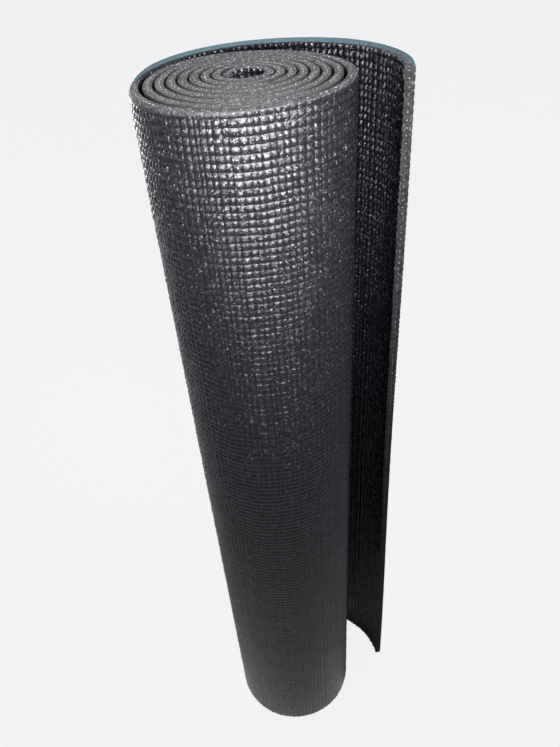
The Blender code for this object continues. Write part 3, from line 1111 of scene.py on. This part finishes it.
floor_mesh = bpy.data.meshes.new("floor")
floor_corners = [(x * FLOOR_HALF, y * FLOOR_HALF, 0.0) for x, y in ((-1, -1), (1, -1), (1, 1), (-1, 1))]
floor_mesh.from_pydata(floor_corners, [], [(0, 1, 2, 3)])
floor = bpy.data.objects.new("floor", floor_mesh)
bpy.context.scene.collection.objects.link(floor)
floor.location.z = cad_box[0].z - FLOOR_DROP

floor_material, tree, shader, place = shader_material("pale_floor")
feed(tree, shader, SHADER_INPUTS, (FLOOR_GREY, FLOOR_ROUGHNESS))
glow = tree.nodes.new("ShaderNodeEmission")
glow.inputs["Color"].default_value = FLOOR_PALE
rays = tree.nodes.new("ShaderNodeLightPath").outputs
# The floor glows in glossy rays by its place: a painted reflection on the mat.
mirrored = combined(tree, "MULTIPLY", rays["Is Glossy Ray"], painted_floor_reflection(tree, place))
seen = combined(tree, "MAXIMUM", rays["Is Camera Ray"], mirrored, rays["Is Transmission Ray"])
shown_pale(
    tree, combined(tree, "MULTIPLY", seen, FLOOR_SHOWN), shader.outputs["BSDF"], glow.outputs["Emission"],
    tree.nodes["Material Output"].inputs["Surface"],
)
floor_mesh.materials.append(floor_material)

world = bpy.data.worlds.new("studio")
bpy.context.scene.world = world
world.use_nodes = True
tree = world.node_tree
feed(tree, tree.nodes["Background"], ("Color", "Strength"), (WORLD_LIGHT, 1.0))
backdrop = tree.nodes.new("ShaderNodeBackground")
backdrop.inputs["Color"].default_value = BACKDROP_PALE
rays = tree.nodes.new("ShaderNodeLightPath").outputs
mirrored = combined(tree, "MULTIPLY", rays["Is Glossy Ray"], BACKDROP_MIRRORED)
shown_pale(
    tree, combined(tree, "MAXIMUM", rays["Is Camera Ray"], rays["Is Transmission Ray"], mirrored),
    tree.nodes["Background"].outputs["Background"], backdrop.outputs["Background"],
    tree.nodes["World Output"].inputs["Surface"],
)


def soft_lamp(name, azimuth, elevation, distance, size, watts, aim=(0.0, 0.0, 0.45), beam=180.0):
    """A soft lamp at a bearing and height above the horizon, turned towards the mat. Azimuth 0 is
    in front of it, and 90 on its right. beam is the angle that its light fans out to."""
    turn, rise = math.radians(azimuth), math.radians(elevation)
    away = np.array([math.sin(turn) * math.cos(rise), -math.cos(turn) * math.cos(rise), math.sin(rise)])
    data = bpy.data.lights.new(name, "AREA")
    data.shape = "RECTANGLE"
    data.size, data.size_y = size
    data.energy = watts
    data.spread = math.radians(beam)
    lamp = bpy.data.objects.new(name, data)
    lamp.location = np.array(aim) + away * distance
    lamp.rotation_mode = "QUATERNION"
    lamp.rotation_quaternion = Vector(away).to_track_quat("Z", "Y")
    lamp.visible_camera = False
    bpy.context.scene.collection.objects.link(lamp)


soft_lamp(
    "front_lamp", azimuth=7, elevation=9, distance=0.28, size=(0.18, 0.10), watts=1.18,
    aim=(0.0, -0.05, 0.64), beam=90,
)
soft_lamp(
    "left_lamp", azimuth=-150, elevation=6, distance=1.5, size=(0.9, 0.6), watts=3.8,
    aim=(0.0, 0.0, 0.38), beam=60,
)
soft_lamp("top_lamp", azimuth=20, elevation=82, distance=2.2, size=(1.6, 1.6), watts=21)

FOCAL_LENGTH = 30.35
SENSOR = 36.0
CLIP_START = 0.01
YAW, PITCH, ROLL = math.radians(-0.331), math.radians(40.42), math.radians(-4.460)
CAMERA_PLACE = (-0.009337, -0.326475, 0.696125)
camera = bpy.data.objects.new("camera", bpy.data.cameras.new("camera"))
camera.data.lens = FOCAL_LENGTH
camera.data.sensor_width = SENSOR
camera.data.clip_start = CLIP_START
forward = np.array([math.sin(YAW) * math.cos(PITCH), math.cos(YAW) * math.cos(PITCH), -math.sin(PITCH)])
right = np.array([math.cos(YAW), -math.sin(YAW), 0.0])
above = np.cross(right, forward)
turned_right = math.cos(ROLL) * right + math.sin(ROLL) * above
turned_up = -math.sin(ROLL) * right + math.cos(ROLL) * above
axes = np.column_stack([turned_right, turned_up, -forward])
camera.rotation_mode = "QUATERNION"
camera.rotation_quaternion = Matrix(axes.tolist()).to_quaternion()
camera.location = CAMERA_PLACE
bpy.context.scene.collection.objects.link(camera)
bpy.context.scene.camera = camera
bpy.context.scene.view_settings.view_transform = "Standard"
